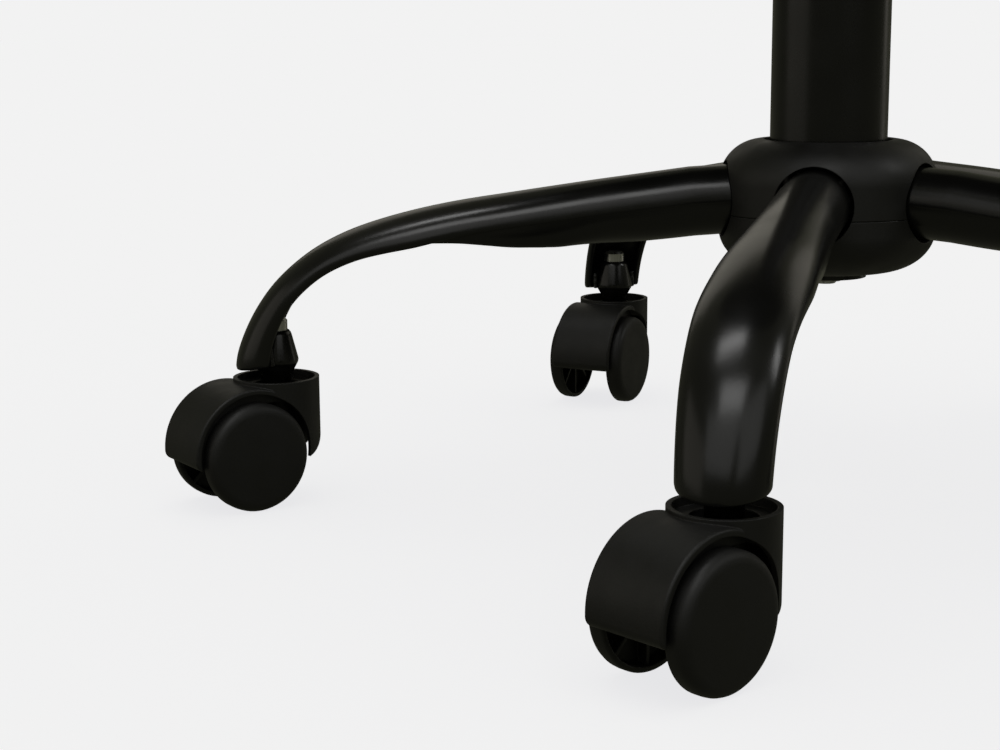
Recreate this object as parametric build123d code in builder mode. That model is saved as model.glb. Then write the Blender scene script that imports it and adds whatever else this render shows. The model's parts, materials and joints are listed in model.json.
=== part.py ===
from build123d import *

import os
from dataclasses import astuple, dataclass
from math import cos, radians, sin, sqrt

# Adjustable swivel stool: a five-arm pressed-tube base on hooded twin-wheel casters, a gas lift,
# a lever mechanism and a round padded seat. Millimetres, +Z up. The origin is on the floor under
# the column's axis, and the front arm points along -Y. The seat is at its lowest height.

# ---------------------------------------------------------------- driving dimensions

# five-arm base
ARM_NAMES = ("front", "right", "rear_right", "rear_left", "left")
ARM_STEP_DEG = 72.0
FRONT_ARM_DEG = -90.0
STEM_REACH = 240.5  # column axis to each caster stem's axis
ARM_WALL = 1.8
ARM_END_Z = 58.0  # outer edge of the arm's end
ARM_END_RISE_DEG = 10.0  # the end's cut rises towards the column by this much
ARM_SLOPE_DEG = 3.4  # the straight part of an arm falls outwards by this much
HUB_R = 25.6
HUB_TOP_Z = 148.0
HUB_BOTTOM_Z = 104.0

# hub cover
COVER_R = 46.5
COVER_WALL = 2.4
COVER_TOP_Z = 156.3
COVER_SPLIT_Z = 125.0
COVER_BOTTOM_Z = 100.0
COVER_SHOULDER_R = 18.0  # rounding of the top edge
COVER_HEEL = (22.0, 18.0)  # the bottom edge's rounding, inwards and upwards
COVER_MOUTH_R = 27.6  # hole that the column passes through
COVER_DRAIN_R = 20.5  # hole round the column's lower end
COVER_ARM_HOLE_R = 16.6
COVER_GAP = 0.3  # parting line

# casters, each trailing at its own angle about +Z from +X
TRAIL_DEG = {"front": 239.5, "right": 247.0, "rear_right": 236.0, "rear_left": 260.5, "left": 231.5}
WHEEL_R = 23.5
WHEEL_IN_Y = 13.2  # tread's inner edge, from the caster's middle plane
WHEEL_OUT_Y = 21.0  # rim of the outer face
WHEEL_DOME = 0.9
WHEEL_WALL = 2.0
WHEEL_EDGE_R = 3.8
WHEEL_RIBS = 8
TRAIL = 19.0  # stem axis to axle
AXLE_R = 3.0
AXLE_HALF = 16.2
STEM_R = 5.5
NECK_R = 6.6
STEM_TIP_Z = 80.5
GRIP_RING_Z = 70.0
SOCKET_TOP_Z = 75.0
SOCKET_TOP_R = 7.0
SOCKET_R = 10.2
SOCKET_WIDE_Z = 61.5  # level of the socket's widest edge
SOCKET_BOTTOM_Z = 55.8
SOCKET_BOTTOM_R = 7.0
HOOD_R = 28.0
HOOD_CENTRE_Z = 25.0  # a little above the axle, for more room over the treads
HOOD_CORNER_R = 4.0
HOOD_HALF_WIDTH = 16.4
HOOD_LIP_Z = 20.3  # fender's lowest edge
HOOD_WALL = 2.0
POCKET_R = 25.7  # room for the treads
POCKET_IN_Y = 12.6
WEB_HALF = 4.0
SLEEVE_Z = 23.0  # lower end of the sleeve that the stem turns in
BOSS_R = 18.8
BOSS_TOP_Z = 54.4
SWEEP_Z = 35.0  # the boss is straight down to here at the back
DISH_R = 16.9
DISH_Z = 50.9
DISH_STEP_R = 11.4
DISH_STEP_Z = 47.6
RUNNING = 0.05  # radial clearance of a running fit

# gas lift
COLUMN_R = 25.0
COLUMN_WALL = 1.8
COLUMN_TOP_Z = 325.0
COLUMN_BOTTOM_Z = 97.0
COLUMN_FLOOR = 3.0
COLUMN_SHOULDER_Z = 156.0
TAPER_TOP_R = 18.9
TAPER_BOTTOM_R = 17.7
CYLINDER_R = 14.0
CYLINDER_WALL = 2.0
CYLINDER_BOTTOM_Z = 120.0
NOSE_R = 13.2  # top of the cylinder's taper
NOSE_LENGTH = 38.0
LIFT_STROKE = 110.0
ROD_R = 5.0
GLAND_H = 14.0
PISTON_H = 12.0
BUSH_BOTTOM_Z = 265.0
BUSH_FLANGE = 3.0
BEARING_Z = 100.0  # thrust bearing's underside
WASHER_T = 2.0
WASHER_R = 14.0
BALL_R = 1.45
BALL_COUNT = 12

# seat and its mechanism
HEAD_Z = 380.0  # top of the gas cylinder
BUTTON_Z = 386.0
BUTTON_R = 4.0
PIN_R = 2.5
BRACKET_BOTTOM_Z = 352.0
BRACKET_LENGTH = 90.0
BRACKET_HALF_WIDTH = 30.0
BRACKET_WALL = 3.0
PLATE_Z = 400.0  # underside of the seat plate
PLATE_T = 2.5
PLATE_SIDE = 150.0
BOLT_SPACING = 124.0
BOLT_R = 3.0
COVER_CLOTH_T = 1.0
COVER_CLOTH_R = 156.0
BOARD_T = 12.0
BOARD_R = 164.0
TEE_FLANGE_R = 9.0
TEE_BARREL_R = 4.0
SEAT_R = 180.0
SEAT_TOP_Z = 482.0
CROWN = 8.0  # fall from the middle of the seat to its shoulder
LEVER_R = 4.0
LEVER_Z = 390.3
LEVER_PIVOT_X = 32.0
LEVER_DROP_Z = 368.0
LEVER_END_X = 178.0

BOARD_Z = PLATE_Z + PLATE_T + COVER_CLOTH_T
BOARD_TOP_Z = BOARD_Z + BOARD_T
HALF_ROOT = sqrt(0.5)
UPWARD = (Align.CENTER, Align.CENTER, Align.MIN)
DOWNWARD = (Align.CENTER, Align.CENTER, Align.MAX)
ALONG_X = (0, 90, 0)
ALONG_Y = (90, 0, 0)


def save(part, name):
    """Labels a finished piece and writes it as its own STEP file."""
    part.label = name
    export_step(part, f"parts/{name}.step")


def arm_angle(name):
    return FRONT_ARM_DEG + ARM_NAMES.index(name) * ARM_STEP_DEG


def caster_place(name):
    """Location of a caster's own frame: stem axis on the floor, trailing along its +X."""
    angle = radians(arm_angle(name))
    return Location((STEM_REACH * cos(angle), STEM_REACH * sin(angle), 0), (0, 0, TRAIL_DEG[name]))


def taper_r(z):
    """Outer radius of the column's lower taper at height z."""
    share = (z - COLUMN_BOTTOM_Z) / (HUB_TOP_Z - COLUMN_BOTTOM_Z)
    return TAPER_BOTTOM_R + share * (TAPER_TOP_R - TAPER_BOTTOM_R)


def nose_r(z):
    """Outer radius of the gas cylinder's upper taper at height z."""
    share = (HEAD_Z - z) / NOSE_LENGTH
    return NOSE_R + share * (CYLINDER_R - NOSE_R)


def turned(*points):
    """A solid of revolution about Z, from its half outline as (radius, height) points."""
    with BuildPart() as blank:
        with BuildSketch(Plane.XZ):
            with BuildLine():
                Polyline(*points, close=True)
            make_face()
        revolve(axis=Axis.Z)
    return blank.part


os.makedirs("parts", exist_ok=True)

# ---------------------------------------------------------------- arms


@dataclass
class Station:
    """One cross-section of an arm, square to its crown line, in the arm's own vertical plane."""

    reach: float  # distance from the column's axis to the crown point
    height: float  # height of the crown point
    half_width: float
    side_drop: float  # crown down to the widest level
    belly: float  # underside's depth below the widest level, negative where it is pressed up
    pinch: float = 0.0  # further press of the underside's middle, which leaves a lobe each side
    lip: float = 0.0  # thickness of the folded double wall at each side edge


ARM_STATIONS = [
    Station(60.0, 144.8, 15.0, 15.0, 15.0),
    Station(80.0, 142.2, 15.1, 14.8, 14.6),
    Station(100.0, 139.6, 15.5, 14.3, 14.5, 1.0),
    Station(120.0, 136.8, 16.2, 14.0, 21.5, 11.0),
    Station(140.0, 133.9, 17.3, 13.4, 22.0, 20.0, 0.3),
    Station(160.0, 130.9, 18.3, 13.1, 13.0, 17.0, 1.0),
    Station(182.0, 126.3, 18.8, 13.0, 1.0, 8.0, 2.6),
    Station(205.0, 119.3, 18.3, 10.6, -7.0, 0.0, 3.4),
    Station(224.0, 109.6, 17.5, 9.5, -6.5, 0.0, 3.4),
    Station(240.0, 95.8, 16.9, 10.0, -7.0, 0.0, 3.4),
    Station(250.9, 79.8, 16.2, 11.8, -8.6, 0.0, 3.4),
    Station(257.0, 64.5, 15.7, 14.0, -10.8, 0.0, 3.4),
    Station(258.0, 54.0, 15.4, 15.4, -12.0, 0.0, 3.4),
]
HOLLOW_SECTIONS = 7  # the tube is still open inside as far as this section
SECTION_SIDES = 24
ARM_START = (cos(radians(ARM_SLOPE_DEG)), -sin(radians(ARM_SLOPE_DEG)))
ARM_AXIS_Z = ARM_STATIONS[0].height - ARM_STATIONS[0].side_drop  # at the first station's reach
STRAIGHT = 50.0  # round tube from inside the hub to the first station


def midway(index):
    """The station halfway from this one to the next, on a cubic through the four nearest."""
    last = len(ARM_STATIONS) - 1
    nearest = (max(index - 1, 0), index, index + 1, min(index + 2, last))
    rows = [astuple(ARM_STATIONS[k]) for k in nearest]
    return Station(*[(9 * (b + c) - a - d) / 16 for a, b, c, d in zip(*rows)])


arm_sections = [ARM_STATIONS[0]]
for index in range(len(ARM_STATIONS) - 1):
    arm_sections += [midway(index), ARM_STATIONS[index + 1]]

with BuildLine(Plane.XZ) as crown_line:
    Spline(*[(s.reach, s.height) for s in arm_sections], tangents=[ARM_START, (0, -1)])
crown = crown_line.edge()


def section_points(station, wall):
    """Corners of one arm section: over the crown, then back along the underside."""
    half = station.half_width - wall
    rise = station.side_drop - wall
    belly = station.belly - wall
    middle = -station.side_drop
    angles = [180 * k / (SECTION_SIDES / 2) for k in range(1, SECTION_SIDES // 2)]
    over = [(half * cos(radians(a)), middle + rise * sin(radians(a))) for a in angles]
    under_half = half - station.lip
    under = []
    for angle in reversed(angles):
        s = sin(radians(angle))
        drop = belly * s - station.pinch * s**3
        under.append((under_half * cos(radians(angle)), middle - drop))
    edge = half - station.lip / 2
    fold = middle - station.lip * 0.55
    return [(edge, fold), *over, (-edge, fold), *under]


def arm_section(station, wall=0.0):
    """One arm section, on a plane square to the crown line, whose Y points out of the crown."""
    at = crown.param_at_point(Vector(station.reach, 0, station.height))
    with BuildSketch(Plane(origin=crown @ at, x_dir=(0, 1, 0), z_dir=crown % at)) as section:
        with BuildLine():
            Polyline(*section_points(station, wall), close=True)
        make_face()
    return section.sketch


with BuildPart() as arm:
    extrude(arm_section(arm_sections[0]), amount=-STRAIGHT)
    loft(sections=[arm_section(s) for s in arm_sections], ruled=True)
    extrude(arm_section(arm_sections[0], ARM_WALL), amount=-STRAIGHT, mode=Mode.SUBTRACT)
    hollow = [arm_section(s, ARM_WALL) for s in arm_sections[:HOLLOW_SECTIONS]]
    loft(sections=hollow, ruled=True, mode=Mode.SUBTRACT)
    # the inner end fits round the hub tube, and the outer end is cut nearly square
    with Locations((0, 0, HUB_BOTTOM_Z)):
        Cylinder(HUB_R, 4 * (HUB_TOP_Z - HUB_BOTTOM_Z), mode=Mode.SUBTRACT)
    with Locations(Pos(ARM_STATIONS[-1].reach, 0, ARM_END_Z) * Rot(0, ARM_END_RISE_DEG, 0)):
        Box(80, 60, 20, align=DOWNWARD, mode=Mode.SUBTRACT)

for name in ARM_NAMES:
    save(arm.part.rotate(Axis.Z, arm_angle(name)), f"arm_{name}")

# ---------------------------------------------------------------- hub tube and its two-part cover

hub_tube = turned(
    (taper_r(HUB_BOTTOM_Z), HUB_BOTTOM_Z),
    (HUB_R, HUB_BOTTOM_Z),
    (HUB_R, HUB_TOP_Z),
    (taper_r(HUB_TOP_Z), HUB_TOP_Z),
)
save(hub_tube, "hub_tube")


def cover_outline(inset):
    """Half outline of the hub cover, moved inwards by inset."""
    r = COVER_R - inset
    top = COVER_TOP_Z - inset
    bottom = COVER_BOTTOM_Z + inset
    shoulder = COVER_SHOULDER_R - inset
    heel_in = COVER_HEEL[0] - inset
    heel_up = COVER_HEEL[1] - inset
    with BuildSketch(Plane.XZ) as outline:
        with BuildLine():
            Line((0, bottom), (r - heel_in, bottom))
            EllipticalCenterArc((r - heel_in, bottom + heel_up), heel_in, heel_up, -90, arc_size=90)
            Line((r, bottom + heel_up), (r, top - shoulder))
            ThreePointArc(
                (r, top - shoulder),
                (r - shoulder * (1 - HALF_ROOT), top - shoulder * (1 - HALF_ROOT)),
                (r - shoulder, top),
            )
            Line((r - shoulder, top), (0, top))
            Line((0, top), (0, bottom))
        make_face()
    return outline.sketch


with BuildPart() as arm_openings:
    for name in ARM_NAMES:
        place = Rot(0, 0, arm_angle(name)) * Pos(ARM_STATIONS[0].reach, 0, ARM_AXIS_Z)
        with Locations(place * Rot(0, 90 + ARM_SLOPE_DEG, 0)):
            Cylinder(COVER_ARM_HOLE_R, STRAIGHT, align=DOWNWARD)

with BuildPart() as cover:
    revolve(cover_outline(0.0), axis=Axis.Z)
    revolve(cover_outline(COVER_WALL), axis=Axis.Z, mode=Mode.SUBTRACT)
    with Locations((0, 0, COVER_SPLIT_Z)):
        Cylinder(COVER_MOUTH_R, 60, align=UPWARD, mode=Mode.SUBTRACT)
        Cylinder(COVER_DRAIN_R, 60, align=DOWNWARD, mode=Mode.SUBTRACT)
    add(arm_openings.part, mode=Mode.SUBTRACT)

with BuildPart() as cover_upper:
    add(cover.part)
    split(bisect_by=Plane.XY.offset(COVER_SPLIT_Z + COVER_GAP / 2), keep=Keep.TOP)
save(cover_upper.part, "hub_cover_upper")

with BuildPart() as cover_lower:
    add(cover.part)
    split(bisect_by=Plane.XY.offset(COVER_SPLIT_Z - COVER_GAP / 2), keep=Keep.BOTTOM)
    # tongue that enters the upper shell
    tongue_r = COVER_R - COVER_WALL
    with BuildSketch(Plane.XY.offset(COVER_SPLIT_Z - 3)):
        Circle(tongue_r)
        Circle(tongue_r - 1.2, mode=Mode.SUBTRACT)
    extrude(amount=5.5)
    add(arm_openings.part, mode=Mode.SUBTRACT)
save(cover_lower.part, "hub_cover_lower")

# ---------------------------------------------------------------- casters, in the caster's own frame

with BuildPart() as hood_skin:
    # fender: a drum round the wheels, open below its lip
    with BuildSketch(Plane.XZ) as hood_outline:
        with Locations((TRAIL, HOOD_CENTRE_Z)):
            Circle(HOOD_R)
        with Locations((TRAIL, HOOD_LIP_Z)):
            Rectangle(4 * HOOD_R, 2 * HOOD_R, align=(Align.CENTER, Align.MAX), mode=Mode.SUBTRACT)
        fillet(hood_outline.vertices(), HOOD_CORNER_R)
    extrude(amount=HOOD_HALF_WIDTH, both=True)
    fillet(hood_skin.edges().filter_by(GeomType.CIRCLE), 1.0)

with BuildPart() as skirt_skin:
    # boss round the stem, whose back sweeps in towards the wheels below it
    with Locations((0, 0, HOOD_LIP_Z)):
        Cylinder(BOSS_R, BOSS_TOP_Z - HOOD_LIP_Z, align=UPWARD)
    with BuildSketch(Plane.XZ):
        with BuildLine():
            Polyline((-BOSS_R, SWEEP_Z), (-40, SWEEP_Z), (-40, 0), (-5, 0), (-5, HOOD_LIP_Z))
            ThreePointArc((-5, HOOD_LIP_Z), (-14.2, 25.5), (-BOSS_R, SWEEP_Z))
        make_face()
    extrude(amount=2 * BOSS_R, both=True, mode=Mode.SUBTRACT)

with BuildPart() as hood_block:
    add(hood_skin.part)
    add(skirt_skin.part)

with BuildPart() as hood_web:
    # middle wall that carries the axle
    add(hood_block.part)
    Box(8 * BOSS_R, 2 * WEB_HALF, 8 * BOSS_R, mode=Mode.INTERSECT)

with BuildPart() as hood:
    add(hood_block.part)
    # the wheels' room, narrower in radius between the treads
    with Locations((TRAIL, 0, HOOD_CENTRE_Z)):
        Cylinder(POCKET_R - 4.8, 4 * HOOD_HALF_WIDTH, rotation=ALONG_Y, mode=Mode.SUBTRACT)
    for side in (1, -1):
        with Locations((TRAIL, side * (POCKET_IN_Y + HOOD_HALF_WIDTH), HOOD_CENTRE_Z)):
            Cylinder(POCKET_R, 2 * HOOD_HALF_WIDTH, rotation=ALONG_Y, mode=Mode.SUBTRACT)
    # the skirt is hollow
    with Locations((0, 0, 0)):
        Cylinder(BOSS_R - HOOD_WALL, DISH_STEP_Z - HOOD_WALL, align=UPWARD, mode=Mode.SUBTRACT)
    add(hood_web.part)
    # sleeve that the stem turns in
    with Locations((0, 0, SLEEVE_Z)):
        Cylinder(STEM_R + 2.5, DISH_STEP_Z - SLEEVE_Z, align=UPWARD)
    with Locations((0, 0, BOSS_TOP_Z)):
        Cylinder(DISH_R, BOSS_TOP_Z - DISH_Z, align=DOWNWARD, mode=Mode.SUBTRACT)
        Cylinder(DISH_STEP_R, BOSS_TOP_Z - DISH_STEP_Z, align=DOWNWARD, mode=Mode.SUBTRACT)
        Cylinder(STEM_R + RUNNING, BOSS_TOP_Z - SLEEVE_Z - 3, align=DOWNWARD, mode=Mode.SUBTRACT)
    with Locations((TRAIL, 0, WHEEL_R)):
        Cylinder(AXLE_R, 4 * WEB_HALF, rotation=ALONG_Y, mode=Mode.SUBTRACT)

with BuildPart() as wheel:
    # axle along Y at the origin, outer face towards +Y
    bore_r = AXLE_R + RUNNING
    bore_end_y = AXLE_HALF + 0.5
    hub_r = AXLE_R + 3
    hub_in_y = WEB_HALF + 0.6
    rim_r = WHEEL_R - WHEEL_WALL
    face_y = WHEEL_OUT_Y - WHEEL_WALL
    centre_y = WHEEL_OUT_Y + WHEEL_DOME
    edge_r = WHEEL_R - WHEEL_EDGE_R
    bend = WHEEL_EDGE_R * (1 - HALF_ROOT)
    with BuildSketch(Plane.XY):
        with BuildLine():
            Polyline(
                (0, centre_y),
                (0, bore_end_y),
                (bore_r, bore_end_y),
                (bore_r, hub_in_y),
                (hub_r, hub_in_y),
                (hub_r, face_y),
                (rim_r - 1.5, face_y),
                (rim_r, face_y - 1.5),
                (rim_r, WHEEL_IN_Y),
                (WHEEL_R - 0.8, WHEEL_IN_Y),
                (WHEEL_R, WHEEL_IN_Y + 0.8),
                (WHEEL_R, WHEEL_OUT_Y - WHEEL_EDGE_R),
            )
            ThreePointArc(
                (WHEEL_R, WHEEL_OUT_Y - WHEEL_EDGE_R),
                (WHEEL_R - bend, WHEEL_OUT_Y - bend),
                (edge_r, WHEEL_OUT_Y),
            )
            TangentArc((0, centre_y), (edge_r, WHEEL_OUT_Y), tangent=(1, 0))
        make_face()
    revolve(axis=Axis.Y)
    # stiffening ribs inside the dish
    with BuildSketch(Plane.XZ.offset(-(WHEEL_IN_Y + 1))):
        with PolarLocations((hub_r + rim_r) / 2, WHEEL_RIBS):
            Rectangle(rim_r - hub_r + 1, 1.4)
    extrude(amount=-(face_y - WHEEL_IN_Y))

with BuildPart() as axle:
    Cylinder(AXLE_R, 2 * AXLE_HALF, rotation=ALONG_Y)
    chamfer(axle.edges().filter_by(GeomType.CIRCLE), 0.4)

neck_bottom_z = DISH_STEP_Z + 0.3
neck_top_z = SOCKET_BOTTOM_Z - 0.2
stem = turned(
    (0, SLEEVE_Z + 3.5),
    (STEM_R - 0.6, SLEEVE_Z + 3.5),
    (STEM_R, SLEEVE_Z + 4.1),
    (STEM_R, neck_bottom_z),
    (NECK_R, neck_bottom_z),
    (NECK_R, neck_top_z),
    (STEM_R, neck_top_z),
    (STEM_R, GRIP_RING_Z - 1),
    (STEM_R - 0.9, GRIP_RING_Z - 1),
    (STEM_R - 0.9, GRIP_RING_Z + 1),
    (STEM_R, GRIP_RING_Z + 1),
    (STEM_R, STEM_TIP_Z - 1.2),
    (STEM_R - 1.2, STEM_TIP_Z),
    (0, STEM_TIP_Z),
)
grip_ring = turned(
    (STEM_R - 0.9, GRIP_RING_Z - 0.8),
    (STEM_R + 0.1, GRIP_RING_Z - 0.8),
    (STEM_R + 0.1, GRIP_RING_Z + 0.8),
    (STEM_R - 0.9, GRIP_RING_Z + 0.8),
)

socket_cone = turned(
    (STEM_R + 0.1, SOCKET_BOTTOM_Z),
    (SOCKET_BOTTOM_R, SOCKET_BOTTOM_Z),
    (SOCKET_R, SOCKET_WIDE_Z),
    (SOCKET_TOP_R, SOCKET_TOP_Z - 1),
    (SOCKET_TOP_R - 1, SOCKET_TOP_Z),
    (STEM_R + 0.1, SOCKET_TOP_Z),
)
with BuildPart() as socket:
    # a bead of weld joins the cone to the arm's folded edge on each side
    add(socket_cone)
    for side in (1, -1):
        with Locations((1.0, side * (SOCKET_R + 0.4), SOCKET_WIDE_Z + 2)):
            Cylinder(1.7, 3.6, rotation=ALONG_Y)

for name in ARM_NAMES:
    place = caster_place(name)
    save(hood.part.moved(place), f"{name}_caster_hood")
    save(axle.part.moved(place * Pos(TRAIL, 0, WHEEL_R)), f"{name}_axle")
    save(wheel.part.moved(place * Pos(TRAIL, 0, WHEEL_R)), f"{name}_wheel_right")
    save(wheel.part.moved(place * Location((TRAIL, 0, WHEEL_R), (0, 0, 180))), f"{name}_wheel_left")
    save(stem.moved(place), f"{name}_caster_stem")

with BuildPart() as sockets:
    for name in ARM_NAMES:
        add(socket.part.moved(Rot(0, 0, arm_angle(name)) * Pos(STEM_REACH, 0, 0)))
save(sockets.part, "stem_sockets")

with BuildPart() as grip_rings:
    for name in ARM_NAMES:
        add(grip_ring.moved(caster_place(name)))
save(grip_rings.part, "grip_rings")

# ---------------------------------------------------------------- gas lift

inner_r = COLUMN_R - COLUMN_WALL
column_floor_z = COLUMN_BOTTOM_Z + COLUMN_FLOOR
column_tube = turned(
    (ROD_R + 0.8, COLUMN_BOTTOM_Z),
    (TAPER_BOTTOM_R, COLUMN_BOTTOM_Z),
    (TAPER_TOP_R, HUB_TOP_Z),
    (COLUMN_R, COLUMN_SHOULDER_Z),
    (COLUMN_R, COLUMN_TOP_Z),
    (inner_r, COLUMN_TOP_Z),
    (inner_r, COLUMN_SHOULDER_Z + 0.6),
    (TAPER_TOP_R - COLUMN_WALL, HUB_TOP_Z + 0.8),
    (TAPER_BOTTOM_R - COLUMN_WALL, column_floor_z),
    (ROD_R + 0.8, column_floor_z),
)
save(column_tube, "column_tube")

guide_r = CYLINDER_R + RUNNING
column_bush = turned(
    (guide_r, BUSH_BOTTOM_Z),
    (inner_r, BUSH_BOTTOM_Z),
    (inner_r, COLUMN_TOP_Z),
    (COLUMN_R - 0.2, COLUMN_TOP_Z),
    (COLUMN_R - 0.2, COLUMN_TOP_Z + BUSH_FLANGE - 1),
    (COLUMN_R - 1.2, COLUMN_TOP_Z + BUSH_FLANGE),
    (guide_r + 1, COLUMN_TOP_Z + BUSH_FLANGE),
    (guide_r, COLUMN_TOP_Z + BUSH_FLANGE - 1),
)
save(column_bush, "column_guide_bush")

ball_gap = 2 * BALL_R + 0.1
with BuildPart() as lower_washer:
    with Locations((0, 0, BEARING_Z)):
        Cylinder(WASHER_R, WASHER_T, align=UPWARD)
        Cylinder(ROD_R + 0.8, WASHER_T, align=UPWARD, mode=Mode.SUBTRACT)
save(lower_washer.part, "bearing_lower_washer")

with BuildPart() as balls:
    with Locations((0, 0, BEARING_Z + WASHER_T + ball_gap / 2)):
        with PolarLocations((WASHER_R + ROD_R + 0.8) / 2, BALL_COUNT):
            Sphere(BALL_R)
save(balls.part, "bearing_balls")

upper_washer_z = BEARING_Z + WASHER_T + ball_gap
with BuildPart() as upper_washer:
    with Locations((0, 0, upper_washer_z)):
        Cylinder(WASHER_R, WASHER_T, align=UPWARD)
        Cylinder(ROD_R, WASHER_T, align=UPWARD, mode=Mode.SUBTRACT)
save(upper_washer.part, "bearing_upper_washer")

bumper_z = upper_washer_z + WASHER_T
with BuildPart() as bumper:
    with Locations((0, 0, bumper_z)):
        Cylinder(ROD_R + 6, CYLINDER_BOTTOM_Z - 0.4 - bumper_z, align=UPWARD)
    fillet(bumper.edges().filter_by(GeomType.CIRCLE), 1.2)
    with Locations((0, 0, bumper_z)):
        Cylinder(ROD_R, 40, align=UPWARD, mode=Mode.SUBTRACT)
save(bumper.part, "rubber_bumper")

clip_z = COLUMN_BOTTOM_Z - 1.8
piston_z = CYLINDER_BOTTOM_Z + GLAND_H + LIFT_STROKE + 6
with BuildPart() as rod:
    with Locations((0, 0, clip_z - 1.4)):
        Cylinder(ROD_R, piston_z + PISTON_H + 3 - clip_z + 1.4, align=UPWARD)
    chamfer(rod.edges().filter_by(GeomType.CIRCLE), 0.5)
    with BuildSketch(Plane.XY.offset(clip_z)):
        Circle(ROD_R + 1)
        Circle(ROD_R - 0.8, mode=Mode.SUBTRACT)
    extrude(amount=1.2, mode=Mode.SUBTRACT)
save(rod.part, "piston_rod")

with BuildPart() as rod_clip:
    with BuildSketch(Plane.XY.offset(clip_z)):
        Circle(ROD_R + 3)
        Circle(ROD_R - 0.8, mode=Mode.SUBTRACT)
        with Locations((ROD_R, 0)):
            Rectangle(2 * ROD_R, 2 * ROD_R - 3, mode=Mode.SUBTRACT)
    extrude(amount=1.2)
save(rod_clip.part, "rod_clip")

bore_r = CYLINDER_R - CYLINDER_WALL
with BuildPart() as piston:
    with Locations((0, 0, piston_z)):
        Cylinder(bore_r - RUNNING, PISTON_H, align=UPWARD)
    with BuildSketch(Plane.XY.offset(piston_z + PISTON_H / 2 - 1.5)):
        Circle(bore_r)
        Circle(bore_r - 1.5, mode=Mode.SUBTRACT)
    extrude(amount=3, mode=Mode.SUBTRACT)
    with Locations((0, 0, piston_z)):
        Cylinder(ROD_R, PISTON_H, align=UPWARD, mode=Mode.SUBTRACT)
save(piston.part, "piston")

head_bottom_z = HEAD_Z - 18
gas_cylinder = turned(
    (bore_r, CYLINDER_BOTTOM_Z),
    (CYLINDER_R - 0.6, CYLINDER_BOTTOM_Z),
    (CYLINDER_R, CYLINDER_BOTTOM_Z + 0.6),
    (CYLINDER_R, HEAD_Z - NOSE_LENGTH),
    (NOSE_R, HEAD_Z),
    (PIN_R + RUNNING, HEAD_Z),
    (PIN_R + RUNNING, head_bottom_z + 1.5),
    (0, head_bottom_z + 1.5),
    (0, head_bottom_z),
    (bore_r, head_bottom_z),
)
save(gas_cylinder, "gas_cylinder")

with BuildPart() as gland:
    with Locations((0, 0, CYLINDER_BOTTOM_Z)):
        Cylinder(bore_r, GLAND_H, align=UPWARD)
        Cylinder(ROD_R + RUNNING, GLAND_H, align=UPWARD, mode=Mode.SUBTRACT)
save(gland.part, "cylinder_gland")

valve_pin = turned(
    (0, HEAD_Z - 12),
    (PIN_R, HEAD_Z - 12),
    (PIN_R, BUTTON_Z - 1.6),
    (BUTTON_R, BUTTON_Z - 1.6),
    (BUTTON_R - 0.2, BUTTON_Z - 0.8),
    (BUTTON_R - 1.6, BUTTON_Z),
    (0, BUTTON_Z),
)
save(valve_pin, "valve_pin")

# ---------------------------------------------------------------- seat mechanism

socket_bottom_z = HEAD_Z - NOSE_LENGTH + 1
socket_wall = 5.0
taper_socket = turned(
    (nose_r(socket_bottom_z), socket_bottom_z),
    (CYLINDER_R + socket_wall, socket_bottom_z),
    (CYLINDER_R + socket_wall, HEAD_Z),
    (NOSE_R, HEAD_Z),
)
save(taper_socket, "taper_socket")

bracket_height = PLATE_Z - BRACKET_BOTTOM_Z
with BuildPart() as bracket:
    # channel, open at both ends, with a foot flange along the top of each side
    with BuildSketch(Plane.YZ):
        with Locations((0, BRACKET_BOTTOM_Z)):
            Rectangle(2 * BRACKET_HALF_WIDTH, bracket_height, align=(Align.CENTER, Align.MIN))
        with Locations((0, BRACKET_BOTTOM_Z + BRACKET_WALL)):
            inner_width = 2 * (BRACKET_HALF_WIDTH - BRACKET_WALL)
            Rectangle(inner_width, bracket_height, align=(Align.CENTER, Align.MIN), mode=Mode.SUBTRACT)
        for side in (1, -1):
            with Locations((side * (BRACKET_HALF_WIDTH + 5), PLATE_Z)):
                Rectangle(16, BRACKET_WALL, align=(Align.CENTER, Align.MAX))
    extrude(amount=BRACKET_LENGTH / 2, both=True)
    with Locations((0, 0, BRACKET_BOTTOM_Z)):
        Cylinder(CYLINDER_R + socket_wall, BRACKET_WALL, align=UPWARD, mode=Mode.SUBTRACT)
    with Locations((LEVER_PIVOT_X, 0, LEVER_Z)):
        Cylinder(PIN_R, 4 * BRACKET_HALF_WIDTH, rotation=ALONG_Y, mode=Mode.SUBTRACT)
save(bracket.part, "lever_bracket")

with BuildPart() as pivot_pin:
    with Locations((LEVER_PIVOT_X, 0, LEVER_Z)):
        Cylinder(PIN_R, 2 * BRACKET_HALF_WIDTH + 5, rotation=ALONG_Y)
    for side in (1, -1):
        with Locations((LEVER_PIVOT_X, side * (BRACKET_HALF_WIDTH + 1.2), LEVER_Z)):
            Cylinder(PIN_R + 1.6, 2.2, rotation=ALONG_Y)
save(pivot_pin.part, "lever_pivot_pin")

with BuildPart() as lever:
    with BuildLine(Plane.XZ) as lever_path:
        FilletPolyline(
            (-8, LEVER_Z),
            (56, LEVER_Z),
            (92, LEVER_DROP_Z),
            (LEVER_END_X, LEVER_DROP_Z),
            radius=22,
        )
    with BuildSketch(Plane.YZ.offset(-8)):
        with Locations((0, LEVER_Z)):
            Circle(LEVER_R)
    sweep()
    with Locations((LEVER_PIVOT_X, 0, LEVER_Z)):
        Cylinder(PIN_R + 3, 24, rotation=ALONG_Y)
        Cylinder(PIN_R + RUNNING, 24, rotation=ALONG_Y, mode=Mode.SUBTRACT)
save(lever.part, "lever_rod")

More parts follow.
